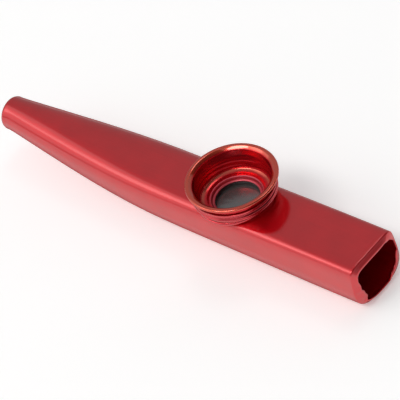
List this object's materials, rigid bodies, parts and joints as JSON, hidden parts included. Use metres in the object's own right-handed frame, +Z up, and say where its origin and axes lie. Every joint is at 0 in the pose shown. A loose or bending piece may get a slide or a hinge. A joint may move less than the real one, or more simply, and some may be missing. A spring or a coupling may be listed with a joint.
{
  "type": "kazoo",
  "caption": "Metal kazoo: a tapered tube, round at the mouth and flat-topped at the bell, with a threaded turret whose screw cap clamps a thin buzzing film.",
  "frame": {"origin": "middle of the object's length and width, at the height of the belly's lowest line", "axes": "+X from the mouth towards the bell, +Z up from the belly to the deck, +Y to the left when looking along +X"},
  "size_m": [0.12, 0.024, 0.0207],
  "materials": {
    "shell_red": "dyed red, satin",
    "cap_red": "dyed red, bright",
    "film": "thin waxed film",
    "film_ring": "pressed dark card",
    "washer": "bare sheet, gone dull"
  },
  "bodies": {
    "instrument": {"body": "shell_red", "turret_collar": "cap_red", "membrane_film": "film", "membrane_ring": "film_ring"},
    "washer": {"pressure_washer": "washer"},
    "cap": {"screw_cap": "cap_red"}
  },
  "joints": [
    {"name": "washer_lift", "type": "slide", "parent": "instrument", "child": "washer", "axis": [0, 0, 1], "range_m": [0, 0.0025]},
    {"name": "cap_turn", "type": "hinge", "parent": "washer", "child": "cap", "pos_m": [0.0172, 0, 0.0155], "axis": [0, 0, 1], "range_deg": [0, 720]}
  ],
  "couplings": [
    {"joint": "cap_turn", "follows": "washer_lift", "rad_per_m": 5026.5}
  ]
}
